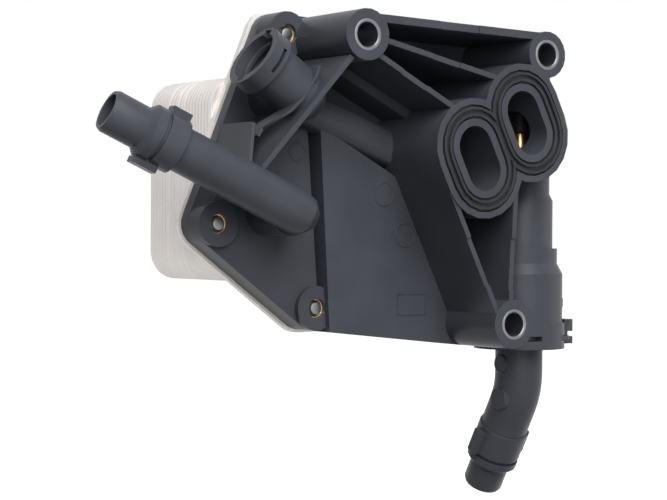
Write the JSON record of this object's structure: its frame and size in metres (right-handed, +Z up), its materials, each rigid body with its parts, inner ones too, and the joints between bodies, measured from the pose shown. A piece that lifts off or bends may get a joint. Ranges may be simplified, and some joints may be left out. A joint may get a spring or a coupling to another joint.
{
  "type": "transmission oil cooler",
  "caption": "Plate heat exchanger on a moulded plastic housing with a thermostat, coolant ports, hose spigots and an outlet elbow; cools gearbox oil with coolant.",
  "frame": {"origin": "front end of the upper left mounting sleeve, in the plane of the mounting face", "axes": "+X to the right along the mounting face, +Y back towards the plate cooler, +Z up along the thermostat tube"},
  "size_m": [0.2566, 0.1259, 0.2223],
  "materials": {
    "black_plastic": "fine matt, glass-filled",
    "clip_plastic": "satin",
    "rubber": "matt moulded",
    "zinc_steel": "zinc plated",
    "pressed_steel": "plain pressed",
    "brass": "turned",
    "cooler_aluminium": "brazed, satin"
  },
  "bodies": {
    "cooler_assembly": {"housing": "black_plastic", "mount_sleeves": "zinc_steel", "brass_inserts": "brass", "cooler_screws": "zinc_steel", "port_gasket": "rubber", "coolant_seal_lower": "rubber", "coolant_seal_upper": "rubber", "cooler_base_plate": "cooler_aluminium", "cooler_plate_stack": "cooler_aluminium", "cooler_end_plate": "cooler_aluminium", "oil_ports": "cooler_aluminium", "thermostat_seal": "rubber", "thermostat_cage": "pressed_steel", "thermostat_piston": "pressed_steel", "thermostat_spring": "pressed_steel", "outlet_elbow": "black_plastic", "elbow_seal": "rubber"},
    "thermostat": {"thermostat_capsule": "brass", "thermostat_valve_disc": "pressed_steel"},
    "clip": {"elbow_clip": "clip_plastic"}
  },
  "joints": [
    {"name": "thermostat_lift", "type": "slide", "parent": "cooler_assembly", "child": "thermostat", "axis": [0, 0, 1], "range_m": [0, 0.007], "stiffness_N_per_m": 3000, "springref_m": -0.005, "deforming": ["thermostat_spring"]},
    {"name": "clip_release", "type": "slide", "parent": "cooler_assembly", "child": "clip", "axis": [1, 0, 0], "range_m": [0, 0.02]}
  ]
}
